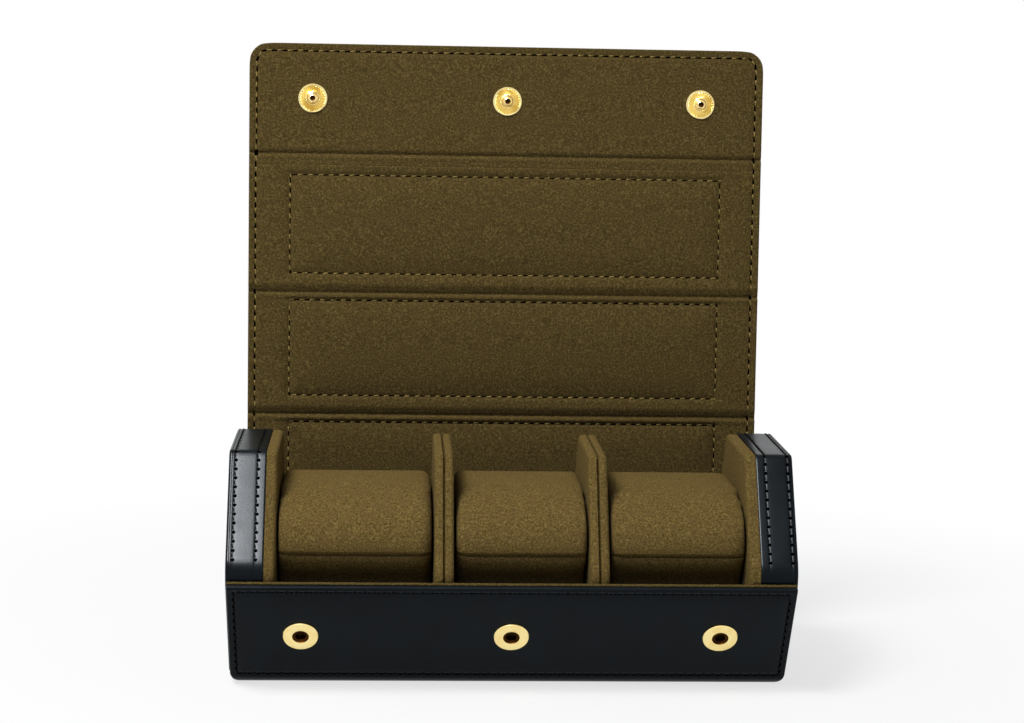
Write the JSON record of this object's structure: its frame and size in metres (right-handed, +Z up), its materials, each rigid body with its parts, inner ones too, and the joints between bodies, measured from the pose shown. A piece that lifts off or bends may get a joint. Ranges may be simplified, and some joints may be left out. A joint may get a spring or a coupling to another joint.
{
  "type": "watch travel case",
  "caption": "Hexagonal leather roll with suede-lined slots and lift-out cushions for watches, and a folding padded flap that snaps shut.",
  "frame": {"origin": "on the table, under the middle of the hexagonal section, half way along the case", "axes": "+X along the case to the right as it is faced, +Y to the back where the flap is hinged, +Z up"},
  "size_m": [0.203, 0.1104, 0.2297],
  "materials": {
    "outer_leather": "satin",
    "lining_suede": "matte",
    "cushion_suede": "matte",
    "stiffening_board": "matte",
    "end_core_board": "matte",
    "foam": "matte",
    "gold_brass": "polished",
    "spring_brass": "satin"
  },
  "bodies": {
    "base": {"base_leather": "outer_leather", "base_lining": "lining_suede", "front_board": "stiffening_board", "floor_board": "stiffening_board", "rear_board": "stiffening_board", "left_end_core": "end_core_board", "left_end_band": "outer_leather", "left_end_face": "outer_leather", "left_end_wall_core": "end_core_board", "left_end_wall_suede": "cushion_suede", "left_divider_left_leaf": "cushion_suede", "left_divider_right_leaf": "cushion_suede", "left_divider_board": "stiffening_board", "right_end_core": "end_core_board", "right_end_band": "outer_leather", "right_end_face": "outer_leather", "right_end_wall_core": "end_core_board", "right_end_wall_suede": "cushion_suede", "right_divider_left_leaf": "cushion_suede", "right_divider_right_leaf": "cushion_suede", "right_divider_board": "stiffening_board", "snap_sockets": "gold_brass", "socket_springs": "spring_brass", "socket_posts": "gold_brass"},
    "rear_panel": {"rear_panel_leather": "outer_leather", "rear_panel_board": "stiffening_board", "rear_panel_foam": "foam", "rear_panel_lining": "lining_suede", "rear_hinge_crease": "lining_suede"},
    "top_panel": {"top_panel_leather": "outer_leather", "top_panel_board": "stiffening_board", "top_panel_foam": "foam", "top_panel_lining": "lining_suede", "rear_top_crease": "lining_suede"},
    "front_panel": {"front_panel_leather": "outer_leather", "front_panel_board": "stiffening_board", "front_panel_foam": "foam", "front_panel_lining": "lining_suede", "front_top_crease": "lining_suede"},
    "closure": {"closure_leather": "outer_leather", "closure_board": "stiffening_board", "closure_lining": "lining_suede", "snap_studs": "gold_brass", "stud_caps": "gold_brass", "closure_crease": "lining_suede"},
    "left_cushion": {"left_cushion_cover": "cushion_suede", "left_cushion_foam": "foam"},
    "middle_cushion": {"middle_cushion_cover": "cushion_suede", "middle_cushion_foam": "foam"},
    "right_cushion": {"right_cushion_cover": "cushion_suede", "right_cushion_foam": "foam"}
  },
  "joints": [
    {"name": "rear_hinge", "type": "hinge", "parent": "base", "child": "rear_panel", "pos_m": [0, 0.04032, 0.04012], "axis": [-1, 0, 0], "range_deg": [-32.87, 88], "deforming": ["rear_hinge_crease"]},
    {"name": "rear_top_fold", "type": "hinge", "parent": "rear_panel", "child": "top_panel", "pos_m": [0, 0.05103, 0.0871], "axis": [-1, 0, 0], "range_deg": [-60, 5], "deforming": ["rear_top_crease"]},
    {"name": "front_top_fold", "type": "hinge", "parent": "top_panel", "child": "front_panel", "pos_m": [0, 0.05341, 0.13469], "axis": [-1, 0, 0], "range_deg": [-60, 5], "deforming": ["front_top_crease"]},
    {"name": "closure_fold", "type": "hinge", "parent": "front_panel", "child": "closure", "pos_m": [0, 0.05461, 0.18668], "axis": [-1, 0, 0], "range_deg": [-60, 5], "deforming": ["closure_crease"]},
    {"name": "left_cushion_lift", "type": "slide", "parent": "base", "child": "left_cushion", "axis": [0, 0, 1], "range_m": [0, 0.085]},
    {"name": "middle_cushion_lift", "type": "slide", "parent": "base", "child": "middle_cushion", "axis": [0, 0, 1], "range_m": [0, 0.085]},
    {"name": "right_cushion_lift", "type": "slide", "parent": "base", "child": "right_cushion", "axis": [0, 0, 1], "range_m": [0, 0.085]}
  ]
}
